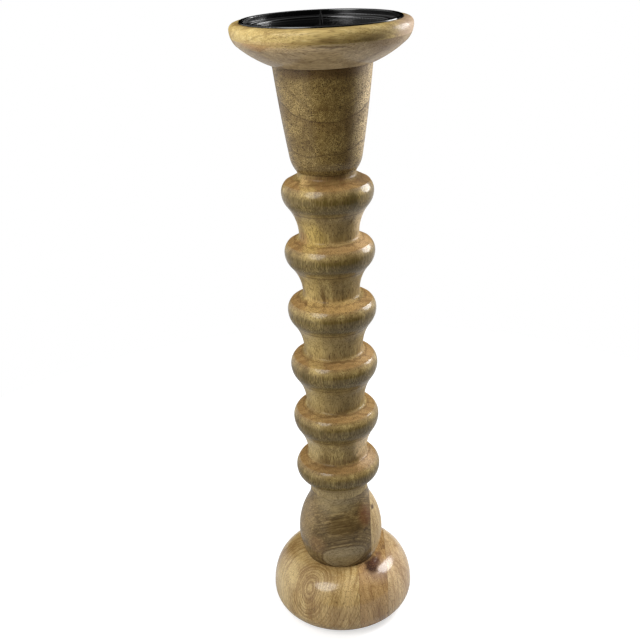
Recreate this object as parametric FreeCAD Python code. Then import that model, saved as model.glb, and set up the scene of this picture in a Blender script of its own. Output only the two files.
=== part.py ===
import FreeCAD, Part
import math
import os

# Turned wooden pricket candle stand. Millimetres, +Z up.
# The origin is the centre of the felt disc's underside, on the floor.
# The wood is turned round the Z axis in four separate blocks that are stacked and fixed together:
# base, ball, ringed spindle, and cup with dish. A black steel pan with a spike lies in the dish.

V = FreeCAD.Vector
os.makedirs("parts", exist_ok=True)

# Felt disc and domed base
felt_thickness = 1.0
felt_inset = 3.8
base_height = 50.5
base_radius = 60.5
base_widest_height = 15.8
base_foot_inset = 10.7
base_seat_margin = 0.6
base_shoulder_share = 0.62
base_middle_board_width = 24.5
base_right_board_width = 22.3

# Ball
ball_height = 64.2
ball_radius = 35.8
ball_widest_height = 21.5
ball_foot_inset = 4.8
ball_groove_radius = 24.2
ball_cove_share = 0.31
ball_strip_width = 10.4

# Spindle: six rings, and the neck above each ring from the top one down
neck_radii = [22.2, 23.1, 22.3, 23.6, 23.8, 24.5]
ring_radius = 35.0
ring_pitch = 47.5
ring_top_round = 11.0
ring_arris_inset = 3.0
ring_ledge_slope = 28.0
neck_cove_round = 2.5
top_neck_height = 2.4
flare_cove_share = 0.70
last_flare_height = 22.1
last_flare_cove_share = 0.51

# Cup
cup_height = 77.5
cup_top_radius = 36.3
cup_foot_radius = 27.3
cup_foot_height = 11.0
cup_overhang = 0.7
cup_swell = 0.45
cup_foot_swell = 0.75

# Dish and its two boards
dish_height = 29.2
dish_radius = 65.0
dish_nose_width = 4.4
dish_nose_height = 4.3
dish_nose_share = 0.55
dish_belly_round = 15.4
dish_belly_turn = 42.5
dish_under_swell = 1.15
dish_foot_overhang = 1.7
dish_upper_board_height = 9.7

# Black pan of spun sheet steel, whose rolled rim lies inside the dish's brim
dish_brim_width = 7.2
pan_rim_stand = 1.3
pan_roll_radius = 1.0
pan_sheet = 0.8
pan_wall_inset = 2.4
pan_step_width = 5.0
pan_step_depth = 4.2
pan_floor_drop = 2.2
pan_cove_round = 0.5
pan_nose_round = 0.4

# Clearances of the loose pan in the dish
pan_side_gap = 0.35
rim_under_gap = 0.3

# Pricket and its washer
pricket_height = 11.0
pricket_base_radius = 1.7
pricket_tip_radius = 0.35
pricket_collar_radius = 4.6
pricket_collar_height = 1.1
pricket_collar_edge = 0.35
pricket_shank_radius = 2.0
pricket_peen_radius = 3.2
pricket_peen_height = 1.2
washer_radius = 5.6
washer_thickness = 1.0
shank_gap = 0.05
pocket_side_gap = 2.4
pocket_end_gap = 2.8

# Wood screws: head and shank radii, length, and the height of the cone under the head
dish_screw_head_radius = 5.0
dish_screw_shank_radius = 2.5
dish_screw_cone_height = 2.6
dish_screw_length = 50.0
base_screw_head_radius = 4.5
base_screw_shank_radius = 2.25
base_screw_cone_height = 2.4
base_screw_length = 60.0
base_screw_sink_depth = 14.0
base_screw_offset = 18.0
screw_point_length = 6.0
screw_rim_height = 0.5
screw_gap = 0.05
screw_slot_width = 1.2
screw_slot_depth = 1.1

# Dowels
main_dowel_radius = 8.0
main_dowel_length = 60.0
base_dowel_in_base = 25.0
ball_dowel_web = 9.2
dish_dowel_radius = 4.0
dish_dowel_length = 24.0
dish_dowel_in_dish = 10.0
dish_dowel_offset = 20.0
dowel_chamfer = 1.0
dowel_side_gap = 0.1
dowel_end_gap = 0.8

# How far a cutting tool runs past the surface that it opens
overrun = 1.0

# Places that follow from the sizes above
ring_count = len(neck_radii)
ring_arris_radius = ring_radius - ring_arris_inset
pan_rim_radius = dish_radius - dish_brim_width
pan_wall_radius = pan_rim_radius - pan_wall_inset
pan_floor_radius = pan_wall_radius - pan_step_width
pocket_radius = washer_radius + pocket_side_gap
ball_glue_x = ball_radius - ball_strip_width
base_right_glue_x = base_radius - base_right_board_width
base_left_glue_x = base_right_glue_x - base_middle_board_width


def ledge_rise(neck):
    """Height of a ring's ledge at the neck's cove, over the ring's arris."""
    slope = math.radians(ring_ledge_slope)
    return (ring_arris_radius - neck - neck_cove_round * (1 - math.sin(slope))) * math.tan(slope)


def shoulder_height(neck):
    """Height from a ring's widest circle up to the foot of the straight neck over it."""
    crown_inset = ring_top_round - ring_arris_inset
    arris_rise = math.sqrt(ring_top_round ** 2 - crown_inset ** 2)
    return arris_rise + ledge_rise(neck) + neck_cove_round * math.cos(math.radians(ring_ledge_slope))


first_ring_drop = top_neck_height + shoulder_height(neck_radii[0])
spindle_height = first_ring_drop + (ring_count - 1) * ring_pitch + last_flare_height
base_bottom_z = felt_thickness
ball_bottom_z = base_bottom_z + base_height
spindle_bottom_z = ball_bottom_z + ball_height
cup_bottom_z = spindle_bottom_z + spindle_height
dish_bottom_z = cup_bottom_z + cup_height
dish_land_z = dish_bottom_z + dish_height
dish_glue_z = dish_land_z - dish_upper_board_height
rim_top_z = dish_land_z + pan_rim_stand
pan_step_z = rim_top_z - pan_step_depth
pan_floor_z = pan_step_z - pan_floor_drop
recess_floor_z = pan_floor_z - pan_sheet
pocket_floor_z = recess_floor_z - washer_thickness - pricket_peen_height - pocket_end_gap


def at(radius, z):
    """A point of an outline: distance from the turning axis, and height."""
    return V(radius, 0, z)


def line(a, b):
    return Part.LineSegment(a, b).toShape()


def arc_about(centre, radius, start, end):
    """Arc round a centre, from one angle to another in degrees. 0 points outwards, 90 upwards."""
    def point(angle):
        turn = math.radians(angle)
        return at(centre.x + radius * math.cos(turn), centre.z + radius * math.sin(turn))
    return Part.Arc(point(start), point((start + end) / 2), point(end)).toShape()


def swelling(a, b, swell):
    """Shallow arc from a to b that stands out from the straight line by swell."""
    along = b.sub(a).normalize()
    outward = V(abs(along.z), 0, -along.x if along.z > 0 else along.x)
    middle = a.add(b).multiply(0.5).add(outward.multiply(swell))
    return Part.Arc(a, middle, b).toShape()


def round_below(widest, inset, low_z):
    """Arc that is upright at the widest point and ends lower down, inset nearer to the axis.

    Returns the arc and its lower end.
    """
    height = widest.z - low_z
    radius = (height ** 2 + inset ** 2) / (2 * inset)
    turn = 2 * math.degrees(math.atan2(inset, height))
    arc = arc_about(at(widest.x - radius, widest.z), radius, -turn, 0)
    return arc, at(widest.x - inset, low_z)


def flare(wide, narrow, cove_share):
    """Two tangent arcs from a ring's widest point to a neck, upright at both ends.

    cove_share is the hollow arc's share of the two radii added up.
    """
    drop = abs(wide.z - narrow.z)
    inset = wide.x - narrow.x
    turn = 2 * math.atan2(inset, drop)
    both_radii = inset / (1 - math.cos(turn))
    cove = both_radii * cove_share
    bead = both_radii - cove
    side = 1 if narrow.z > wide.z else -1
    angle = math.degrees(turn)
    round_part = arc_about(at(wide.x - bead, wide.z), bead, 0, side * angle)
    hollow = arc_about(at(narrow.x + cove, narrow.z), cove, 180 + side * angle, 180)
    return [round_part, hollow]


def turned(edges):
    """Solid of revolution of an outline that starts and ends on the axis."""
    face = Part.Face(Part.Wire(Part.sortEdges(edges)[0]))
    return face.revolve(V(0, 0, 0), V(0, 0, 1), 360)


def closed_on_axis(edges, bottom, top):
    """Close an outline from its bottom point to its top point with the two flat ends and the axis."""
    low = at(0, bottom.z)
    high = at(0, top.z)
    return edges + [line(low, bottom), line(top, high), line(high, low)]


def rod(radius, low_z, high_z, x=0, y=0):
    return Part.makeCylinder(radius, high_z - low_z, V(x, y, low_z))


def box_between(low_x, high_x):
    """Tall block that holds all of the wood between two upright planes."""
    reach = dish_radius + overrun
    return Part.makeBox(high_x - low_x, 2 * reach, rim_top_z, V(low_x, -reach, 0))


def make_felt_pad():
    return rod(base_radius - base_foot_inset - felt_inset, 0, felt_thickness)


def base_outline():
    """Domed base: rounded under, widest low down, with a full shoulder up to the ball's flat seat."""
    widest = at(base_radius, base_bottom_z + base_widest_height)
    seat = at(ball_radius - ball_foot_inset + base_seat_margin, ball_bottom_z)
    under, foot = round_below(widest, base_foot_inset, base_bottom_z)
    corner = at(base_radius, ball_bottom_z)
    shoulder = Part.BezierCurve()
    shoulder.setPoles([
        widest,
        widest.add(corner.sub(widest).multiply(base_shoulder_share)),
        seat.add(corner.sub(seat).multiply(base_shoulder_share)),
        seat,
    ])
    return closed_on_axis([under, shoulder.toShape()], foot, seat)


def make_base_boards():
    """The dome, bored for its dowel and screws, and sawn along the two glue planes."""
    dome = turned(base_outline())
    bore_radius = main_dowel_radius + dowel_side_gap
    dome = dome.cut(rod(bore_radius, base_dowel_span()[0] - dowel_end_gap, ball_bottom_z + overrun))
    for y in base_screw_places():
        dome = dome.cut(base_screw_bore(y))
    reach = base_radius + overrun
    return {
        "base_left_board": dome.common(box_between(-reach, base_left_glue_x)),
        "base_middle_board": dome.common(box_between(base_left_glue_x, base_right_glue_x)),
        "base_right_board": dome.common(box_between(base_right_glue_x, reach)),
    }


def base_dowel_span():
    """Lowest and highest point of the base's dowel, which leaves a web of wood under the one above."""
    return ball_bottom_z - base_dowel_in_base, spindle_dowel_span()[0] - ball_dowel_web


def spindle_dowel_span():
    return spindle_bottom_z - main_dowel_length / 2, spindle_bottom_z + main_dowel_length / 2


def cup_dowel_span():
    return cup_bottom_z - main_dowel_length / 2, cup_bottom_z + main_dowel_length / 2


def dish_dowel_span():
    high = dish_bottom_z + dish_dowel_in_dish
    return high - dish_dowel_length, high


def make_dowel(radius, span, x=0):
    """Round dowel with both ends chamfered."""
    low_z, high_z = span
    outline = [
        at(0, low_z),
        at(radius - dowel_chamfer, low_z),
        at(radius, low_z + dowel_chamfer),
        at(radius, high_z - dowel_chamfer),
        at(radius - dowel_chamfer, high_z),
        at(0, high_z),
        at(0, low_z),
    ]
    edges = [line(a, b) for a, b in zip(outline, outline[1:])]
    dowel = turned(edges)
    dowel.translate(V(x, 0, 0))
    return dowel


def base_screw_places():
    return [-base_screw_offset, base_screw_offset]


def make_screw(head, shank, cone_height, length):
    """Countersunk wood screw, head up, its flat top at z = 0, with one driver slot."""
    outline = [
        at(0, 0),
        at(head, 0),
        at(head, -screw_rim_height),
        at(shank, -screw_rim_height - cone_height),
        at(shank, screw_point_length - length),
        at(0, -length),
        at(0, 0),
    ]
    body = turned([line(a, b) for a, b in zip(outline, outline[1:])])
    slot = Part.makeBox(
        2 * (head + overrun), screw_slot_width, screw_slot_depth + overrun,
        V(-head - overrun, -screw_slot_width / 2, -screw_slot_depth))
    return body.cut(slot)


def screw_bore(head, shank, cone_height, length, sink_depth):
    """Space for a screw in the wood, with a straight hole of sink_depth over its head."""
    outline = [
        at(0, sink_depth + overrun),
        at(head + screw_gap, sink_depth + overrun),
        at(head + screw_gap, -screw_rim_height),
        at(shank + screw_gap, -screw_rim_height - cone_height),
        at(shank + screw_gap, screw_point_length - length),
        at(0, -length - screw_gap),
        at(0, sink_depth + overrun),
    ]
    return turned([line(a, b) for a, b in zip(outline, outline[1:])])


def base_screw_shapes(make, *extra):
    """A base screw, or its bore, turned head down and lifted to its place on the axis."""
    shape = make(base_screw_head_radius, base_screw_shank_radius,
                 base_screw_cone_height, base_screw_length, *extra)
    shape.rotate(V(0, 0, 0), V(1, 0, 0), 180)
    shape.translate(V(0, 0, base_bottom_z + base_screw_sink_depth))
    return shape


def base_screw_bore(y):
    bore = base_screw_shapes(screw_bore, base_screw_sink_depth)
    bore.translate(V(0, y, 0))
    return bore


def make_base_screw(y):
    screw = base_screw_shapes(make_screw)
    screw.translate(V(0, y, 0))
    return screw


def ball_outline():
    """Ball: round below, and drawn up through a hollow to the groove under the last ring."""
    widest = at(ball_radius, ball_bottom_z + ball_widest_height)
    groove = at(ball_groove_radius, spindle_bottom_z)
    lower, foot = round_below(widest, ball_foot_inset, ball_bottom_z)
    return closed_on_axis([lower] + flare(widest, groove, ball_cove_share), foot, groove)


def make_ball_blocks():
    """The ball, bored for two dowels and the base screws, and sawn along its glue plane."""
    ball = turned(ball_outline())
    base_dowel = base_dowel_span()
    spindle_dowel = spindle_dowel_span()
    bore_radius = main_dowel_radius + dowel_side_gap
    ball = ball.cut(rod(bore_radius, ball_bottom_z - overrun, base_dowel[1] + dowel_end_gap))
    ball = ball.cut(rod(bore_radius, spindle_dowel[0] - dowel_end_gap, spindle_bottom_z + overrun))
    for y in base_screw_places():
        ball = ball.cut(base_screw_bore(y))
    reach = ball_radius + overrun
    return {
        "ball_main_block": ball.common(box_between(-reach, ball_glue_x)),
        "ball_side_strip": ball.common(box_between(ball_glue_x, reach)),
    }


def ring_z(number):
    """Height of a ring's widest circle. Ring 0 is the top one."""
    return cup_bottom_z - first_ring_drop - number * ring_pitch


def ring_shoulder(number):
    """The neck's foot, and the cove, sloping ledge and round top that lead out to the ring's edge."""
    neck = neck_radii[number]
    widest_z = ring_z(number)
    crown_inset = ring_top_round - ring_arris_inset
    crown_centre = at(ring_radius - ring_top_round, widest_z)
    arris = at(ring_arris_radius, widest_z + math.sqrt(ring_top_round ** 2 - crown_inset ** 2))
    arris_angle = math.degrees(math.acos(crown_inset / ring_top_round))
    neck_foot = at(neck, widest_z + shoulder_height(neck))
    cove_centre = at(neck + neck_cove_round, neck_foot.z)
    cove = arc_about(cove_centre, neck_cove_round, 180, 270 - ring_ledge_slope)
    ledge_run = ledge_rise(neck) / math.tan(math.radians(ring_ledge_slope))
    ledge_top = at(ring_arris_radius - ledge_run, arris.z + ledge_rise(neck))
    crown = arc_about(crown_centre, ring_top_round, arris_angle, 0)
    return neck_foot, [cove, line(ledge_top, arris), crown]


def spindle_outline():
    """Six rings, each with a ledge on top and a flare that runs down into the next neck."""
    top = at(neck_radii[0], cup_bottom_z)
    bottom = at(ball_groove_radius, spindle_bottom_z)
    shoulders = [ring_shoulder(number) for number in range(ring_count)]
    edges = [line(top, shoulders[0][0])]
    for number in range(ring_count):
        edges += shoulders[number][1]
        widest = at(ring_radius, ring_z(number))
        if number + 1 < ring_count:
            edges += flare(widest, shoulders[number + 1][0], flare_cove_share)
        else:
            edges += flare(widest, bottom, last_flare_cove_share)
    return closed_on_axis(edges, bottom, top)


def make_spindle():
    spindle = turned(spindle_outline())
    bore_radius = main_dowel_radius + dowel_side_gap
    lower = spindle_dowel_span()
    upper = cup_dowel_span()
    spindle = spindle.cut(rod(bore_radius, spindle_bottom_z - overrun, lower[1] + dowel_end_gap))
    return spindle.cut(rod(bore_radius, upper[0] - dowel_end_gap, cup_bottom_z + overrun))


def cup_outline():
    """Tapering cup with slightly swelling sides and a rounded foot that overhangs the neck."""
    bottom = at(neck_radii[0] + cup_overhang, cup_bottom_z)
    foot = at(cup_foot_radius, cup_bottom_z + cup_foot_height)
    top = at(cup_top_radius, dish_bottom_z)
    edges = [swelling(bottom, foot, cup_foot_swell), swelling(foot, top, cup_swell)]
    return closed_on_axis(edges, bottom, top)


def make_cup():
    cup = turned(cup_outline())
    bore_radius = main_dowel_radius + dowel_side_gap
    cup = cup.cut(rod(bore_radius, cup_bottom_z - overrun, cup_dowel_span()[1] + dowel_end_gap))
    cup = cup.cut(dish_screw_bore())
    for x in dish_dowel_places():
        cup = cup.cut(dish_dowel_bore(x))
    return cup


def dish_dowel_places():
    return [-dish_dowel_offset, dish_dowel_offset]


def dish_dowel_bore(x):
    low_z, high_z = dish_dowel_span()
    return rod(dish_dowel_radius + dowel_side_gap, low_z - dowel_end_gap, high_z + dowel_end_gap, x)


def dish_screw_bore():
    bore = screw_bore(dish_screw_head_radius, dish_screw_shank_radius,
                      dish_screw_cone_height, dish_screw_length, 0)
    bore.translate(V(0, 0, pocket_floor_z))
    return bore


def make_dish_screw():
    screw = make_screw(dish_screw_head_radius, dish_screw_shank_radius,
                       dish_screw_cone_height, dish_screw_length)
    screw.translate(V(0, 0, pocket_floor_z))
    return screw


def dish_outline():
    """Dish: flat land, round nose, belly that turns under, and a swelling underside to the cup."""
    widest = at(dish_radius, dish_land_z - dish_nose_height)
    land = at(dish_radius - dish_nose_width, dish_land_z)
    corner = at(dish_radius, dish_land_z)
    nose = Part.BezierCurve()
    nose.setPoles([
        widest,
        widest.add(corner.sub(widest).multiply(dish_nose_share)),
        land.add(corner.sub(land).multiply(dish_nose_share)),
        land,
    ])
    turn = math.radians(dish_belly_turn)
    belly_centre = at(dish_radius - dish_belly_round, widest.z)
    belly = arc_about(belly_centre, dish_belly_round, 0, -dish_belly_turn)
    belly_end = at(belly_centre.x + dish_belly_round * math.cos(turn),
                   belly_centre.z - dish_belly_round * math.sin(turn))
    foot = at(cup_top_radius + dish_foot_overhang, dish_bottom_z)
    under = swelling(foot, belly_end, dish_under_swell)
    return closed_on_axis([nose.toShape(), belly, under], foot, land)


def pan_recess():
    """Space for the pan in the dish: a rebate for the rolled rim over a deeper round recess."""
    rebate_floor_z = rim_top_z - 2 * pan_roll_radius - rim_under_gap
    rebate = rod(pan_rim_radius + pan_side_gap, rebate_floor_z, dish_land_z + overrun)
    recess = rod(pan_wall_radius + pan_sheet + pan_side_gap, recess_floor_z, dish_land_z + overrun)
    pocket = rod(pocket_radius, pocket_floor_z, recess_floor_z + overrun)
    return rebate.fuse(recess).fuse(pocket)


def make_dish_boards():
    """The dish, hollowed for the pan, bored, and sawn along its level glue plane."""
    dish = turned(dish_outline()).cut(pan_recess()).cut(dish_screw_bore())
    for x in dish_dowel_places():
        dish = dish.cut(dish_dowel_bore(x))
    reach = dish_radius + overrun
    upper = rod(reach, dish_glue_z, dish_land_z + overrun)
    lower = rod(reach, dish_bottom_z - overrun, dish_glue_z)
    return {"dish_upper_board": dish.common(upper), "dish_lower_board": dish.common(lower)}


def make_pan():
    """Stepped pan of one sheet: rolled rim, wall, step, lower wall, and a floor with the spike's hole."""
    roll_z = rim_top_z - pan_roll_radius
    hole = pricket_shank_radius + shank_gap
    cove_back = pan_cove_round + pan_sheet
    nose_front = pan_nose_round + pan_sheet
    wall = pan_wall_radius
    low_wall = pan_floor_radius
    floor_cove = at(low_wall - pan_cove_round, pan_floor_z + pan_cove_round)
    step_cove = at(wall - pan_cove_round, pan_step_z + pan_cove_round)
    step_nose = at(low_wall + nose_front, pan_step_z - nose_front)
    front = [
        line(at(hole, pan_floor_z), at(floor_cove.x, pan_floor_z)),
        arc_about(floor_cove, pan_cove_round, 270, 360),
        line(at(low_wall, floor_cove.z), at(low_wall, step_nose.z)),
        arc_about(step_nose, nose_front, 180, 90),
        line(at(step_nose.x, pan_step_z), at(step_cove.x, pan_step_z)),
        arc_about(step_cove, pan_cove_round, 270, 360),
        line(at(wall, step_cove.z), at(wall, roll_z)),
    ]
    back = [
        line(at(hole, recess_floor_z), at(floor_cove.x, recess_floor_z)),
        arc_about(floor_cove, cove_back, 270, 360),
        line(at(low_wall + pan_sheet, floor_cove.z), at(low_wall + pan_sheet, step_nose.z)),
        arc_about(step_nose, pan_nose_round, 180, 90),
        line(at(step_nose.x, pan_step_z - pan_sheet), at(step_cove.x, pan_step_z - pan_sheet)),
        arc_about(step_cove, cove_back, 270, 360),
        line(at(wall + pan_sheet, step_cove.z), at(wall + pan_sheet, roll_z)),
    ]
    ends = [
        line(at(wall, roll_z), at(wall + pan_sheet, roll_z)),
        line(at(hole, recess_floor_z), at(hole, pan_floor_z)),
    ]
    roll = Part.makeTorus(pan_rim_radius - pan_roll_radius, pan_roll_radius, V(0, 0, roll_z))
    return turned(front + back + ends).fuse(roll).removeSplitter()


def make_pricket():
    """Spike with its collar on the pan's floor, and a shank peened over under the washer."""
    under_z = recess_floor_z - washer_thickness
    collar_top = pan_floor_z + pricket_collar_height
    outline = [
        at(0, under_z - pricket_peen_height),
        at(pricket_shank_radius, under_z - pricket_peen_height),
        at(pricket_peen_radius, under_z),
        at(pricket_shank_radius, under_z),
        at(pricket_shank_radius, pan_floor_z),
        at(pricket_collar_radius, pan_floor_z),
        at(pricket_collar_radius, collar_top - pricket_collar_edge),
        at(pricket_collar_radius - pricket_collar_edge, collar_top),
        at(pricket_base_radius, collar_top),
        at(pricket_tip_radius, pan_floor_z + pricket_height - pricket_tip_radius),
    ]
    edges = [line(a, b) for a, b in zip(outline, outline[1:])]
    tip_centre = at(0, pan_floor_z + pricket_height - pricket_tip_radius)
    edges.append(arc_about(tip_centre, pricket_tip_radius, 0, 90))
    edges.append(line(at(0, pan_floor_z + pricket_height), outline[0]))
    return turned(edges)


def make_pricket_washer():
    low_z = recess_floor_z - washer_thickness
    disc = rod(washer_radius, low_z, recess_floor_z)
    return disc.cut(rod(pricket_shank_radius + shank_gap, low_z - overrun, recess_floor_z + overrun))


def make_all():
    parts = {"felt_pad": make_felt_pad()}
    parts.update(make_base_boards())
    for name, y in zip(("base_screw_front", "base_screw_back"), base_screw_places()):
        parts[name] = make_base_screw(y)
    parts["base_dowel"] = make_dowel(main_dowel_radius, base_dowel_span())
    parts.update(make_ball_blocks())
    parts["spindle_dowel"] = make_dowel(main_dowel_radius, spindle_dowel_span())
    parts["spindle"] = make_spindle()
    parts["cup_dowel"] = make_dowel(main_dowel_radius, cup_dowel_span())
    parts["cup"] = make_cup()
    for name, x in zip(("dish_dowel_left", "dish_dowel_right"), dish_dowel_places()):
        parts[name] = make_dowel(dish_dowel_radius, dish_dowel_span(), x)
    parts["dish_screw"] = make_dish_screw()
    parts.update(make_dish_boards())
    parts["pan"] = make_pan()
    parts["pricket"] = make_pricket()
    parts["pricket_washer"] = make_pricket_washer()
    return parts


for node, shape in make_all().items():
    print(node, "valid" if shape.isValid() else "INVALID", len(shape.Solids), "solid(s)",
          round(shape.Volume), "mm3")
    shape.exportStep("parts/" + node + ".step")
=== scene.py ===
# %% [markdown]
# # Dressing a turned wooden pricket candle stand
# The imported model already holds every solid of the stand: turned blocks of pale hardwood, the black pan
# with its spike, and the dowels, screws and felt that nobody sees. Their shapes are right, so this lesson
# keeps them and spends its effort on light, on lacquered wood with its fibres, pores, growth layers and
# knots, and on gloss enamel. Blender works in metres, and the stand's turning axis is the world's Z axis.

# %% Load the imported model
import math
import bpy
from mathutils import Matrix, Vector


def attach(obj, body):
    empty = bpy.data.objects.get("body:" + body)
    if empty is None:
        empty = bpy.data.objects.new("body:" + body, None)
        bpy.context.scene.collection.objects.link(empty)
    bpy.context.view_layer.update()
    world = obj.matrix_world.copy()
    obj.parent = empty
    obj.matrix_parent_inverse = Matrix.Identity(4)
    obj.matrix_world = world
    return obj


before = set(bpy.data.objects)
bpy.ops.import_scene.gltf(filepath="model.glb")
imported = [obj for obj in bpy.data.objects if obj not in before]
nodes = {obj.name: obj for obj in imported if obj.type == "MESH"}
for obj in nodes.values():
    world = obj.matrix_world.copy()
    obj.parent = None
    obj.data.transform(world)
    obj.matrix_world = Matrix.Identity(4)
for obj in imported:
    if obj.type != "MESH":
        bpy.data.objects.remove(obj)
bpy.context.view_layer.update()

# %% [markdown]
# ## The camera
# The photographer stood in front of the stand, a little over its rim, and looked down at it. The camera
# could be aimed by hand, but the stand's six equal rings are a good ruler: their sizes in the picture fix
# where the camera was, how far it was tilted, and how long its lens was. Blender wants that lens in
# millimetres for a 36 mm wide picture, and the turn as a matrix whose columns are the camera's right, up
# and backward arrows.

# %% Place the camera
photo_width = 640
focal_pixels = 947.56
sensor_width = 36.0
camera_place = Vector((0.0, -0.6918, 0.5682))
tilt_down = math.radians(23.36)
aim_left = math.radians(0.83)
roll = math.radians(2.587)

level_right = Vector((math.cos(aim_left), math.sin(aim_left), 0.0))
level_ahead = Vector((-math.sin(aim_left), math.cos(aim_left), 0.0))
upward = Vector((0.0, 0.0, 1.0))
ahead = level_ahead * math.cos(tilt_down) - upward * math.sin(tilt_down)
above = level_ahead * math.sin(tilt_down) + upward * math.cos(tilt_down)
camera_right = level_right * math.cos(roll) - above * math.sin(roll)
camera_up = level_right * math.sin(roll) + above * math.cos(roll)

photo_lens = bpy.data.cameras.new("photo_lens")
photo_lens.sensor_width = sensor_width
photo_lens.lens = focal_pixels / photo_width * sensor_width
photo_lens.clip_start = 0.01
photo_camera = bpy.data.objects.new("photo_camera", photo_lens)
bpy.context.scene.collection.objects.link(photo_camera)
columns = Matrix((camera_right, camera_up, -ahead)).transposed().to_4x4()
photo_camera.matrix_world = Matrix.Translation(camera_place) @ columns
bpy.context.scene.camera = photo_camera
print("lens:", round(photo_lens.lens, 2), "mm")

# %% [markdown]
# ## Shader sums in plain Python
# A wood is mostly arithmetic: distances from the log's middle, stretched noise, thresholds. Wiring each
# sum by hand hides the idea, so one small class wraps the output of a node and overloads the operators.
# Any other node comes from one method, which sets its options first and its inputs after that.

# %% Wrap a shader socket
class Wire:
    """The output of a shader node. Arithmetic on it adds Math nodes."""

    def __init__(self, finish, output):
        self.finish = finish
        self.output = output

    def maths(self, operation, first, second):
        return self.finish.node("ShaderNodeMath", {"operation": operation}, {0: first, 1: second})

    def __add__(self, other):
        return self.maths("ADD", self, other)

    __radd__ = __add__

    def __sub__(self, other):
        return self.maths("SUBTRACT", self, other)

    def __rsub__(self, other):
        return self.maths("SUBTRACT", other, self)

    def __mul__(self, other):
        return self.maths("MULTIPLY", self, other)

    __rmul__ = __mul__

    def __abs__(self):
        return self.maths("ABSOLUTE", self, 0.0)


class Finish:
    """A material, or the world, in the making: every node of it is added here."""

    def __init__(self, name, tree=None):
        if tree is None:
            self.material = bpy.data.materials.new(name)
            self.material.use_nodes = True
            tree = self.material.node_tree
        self.tree = tree
        self.tree.nodes.clear()

    def node(self, kind, settings=None, values=None, output=0):
        """Adds a node. settings are its options, values its inputs by number or name."""
        added = self.tree.nodes.new(kind)
        for name, value in (settings or {}).items():
            setattr(added, name, value)
        for key, value in (values or {}).items():
            if isinstance(value, Wire):
                self.tree.links.new(value.output, added.inputs[key])
            else:
                added.inputs[key].default_value = value
        return Wire(self, added.outputs[output]) if len(added.outputs) else None


print("a Wire adds Math nodes, a Finish holds the material")

# %% [markdown]
# ## Small steps that every finish shares
# Colours are easiest to read off a picture as display values from 0 to 255, so one helper turns them into
# the linear numbers that shaders want. The others mix colours, fade a mask in between two values, and
# measure with vectors. Wood is described in millimetres, because its pores and layers are that small.

# %% Colour, mask and vector helpers
x_axis = (1.0, 0.0, 0.0)
y_axis = (0.0, 1.0, 0.0)
z_axis = (0.0, 0.0, 1.0)


def shade(red, green, blue):
    """Linear colour of a display colour from 0 to 255."""
    def linear(value):
        share = value / 255
        return share / 12.92 if share <= 0.04045 else ((share + 0.055) / 1.055) ** 2.4
    return (linear(red), linear(green), linear(blue), 1.0)


def blended(finish, amount, first, second):
    """first, turning into second as amount goes from 0 to 1."""
    settings = {"data_type": "RGBA", "blend_type": "MIX", "clamp_factor": True}
    return finish.node("ShaderNodeMix", settings, {0: amount, 6: first, 7: second}, output=2)


def tinted(finish, colour, mask, strength, tint):
    """The colour, turned towards tint by strength where the mask is 1."""
    return blended(finish, mask * strength, colour, tint)


def fade(finish, value, start, end):
    """A smooth 0 to 1 as value goes from start to end. With start over end it goes down."""
    if start > end:
        return 1 - fade(finish, value, end, start)
    settings = {"interpolation_type": "SMOOTHSTEP"}
    return finish.node("ShaderNodeMapRange", settings, {0: value, 1: start, 2: end, 3: 0.0, 4: 1.0})


def between(finish, value, low, high, edge):
    """1 from low to high, fading out over edge on both sides."""
    return fade(finish, value, low - edge, low) * fade(finish, value, high + edge, high)


def line_at(finish, value, middle, half_width):
    """1 where value is middle, fading to 0 at half_width from it."""
    return fade(finish, abs(value - middle), half_width, 0.0)


def vector_step(finish, operation, first, second=None, output=0):
    """One step of vector arithmetic. SCALE takes a number as its second value."""
    values = {0: first}
    if second is not None:
        values[3 if operation == "SCALE" else 1] = second
    return finish.node("ShaderNodeVectorMath", {"operation": operation}, values, output)


def along(finish, place, direction):
    """How far a point lies along a direction."""
    return vector_step(finish, "DOT_PRODUCT", place, tuple(direction), output=1)


def place_in_mm(finish):
    """Where a shaded point is on the stand, in millimetres."""
    metres = finish.node("ShaderNodeTexCoord", output=3)
    return vector_step(finish, "SCALE", metres, 1000.0)


print("display 128 is linear", round(shade(128, 128, 128)[0], 3))

# %% [markdown]
# ## Fibres, pores and layers
# Wood fibres are long and thin, so noise becomes fibre when its space is squeezed across the fibre and
# stretched along it. The wood also has open pores: where the cutter runs along them they show as short
# brown dashes, and where it cuts across them they show as dots. One stretched noise, cut off at a
# threshold, gives both without being told which is which, because the surface itself cuts the solid
# pattern. Growth layers lie round the middle of the log, so they need only the distance from that line.

# %% Noise in the wood's own directions
pore_edge = 0.09
spot_edge = 0.5


def noise(finish, vector, detail, roughness=0.5):
    """Cloudy 0 to 1 noise with features about one unit wide."""
    values = {"Vector": vector, "Scale": 1.0, "Detail": detail, "Roughness": roughness}
    return finish.node("ShaderNodeTexNoise", None, values)


def stretched(finish, place, fibre, width, length):
    """Space in which a feature one unit wide is width mm across the fibre and length mm along it."""
    squeezed = vector_step(finish, "SCALE", place, 1 / width)
    lengthwise = along(finish, place, fibre) * (1 / length - 1 / width)
    pull = vector_step(finish, "SCALE", tuple(fibre), lengthwise)
    return vector_step(finish, "ADD", squeezed, pull)


def fibres(finish, place, fibre, width, length):
    """Noise drawn out along the fibre."""
    return noise(finish, stretched(finish, place, fibre, width, length), detail=3.0, roughness=0.6)


def pores(finish, place, fibre, width, length, start):
    """1 in a pore, 0 between the pores. A higher start leaves fewer of them."""
    cells = noise(finish, stretched(finish, place, fibre, width, length), detail=1.0)
    return fade(finish, cells, start, start + pore_edge)


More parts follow.
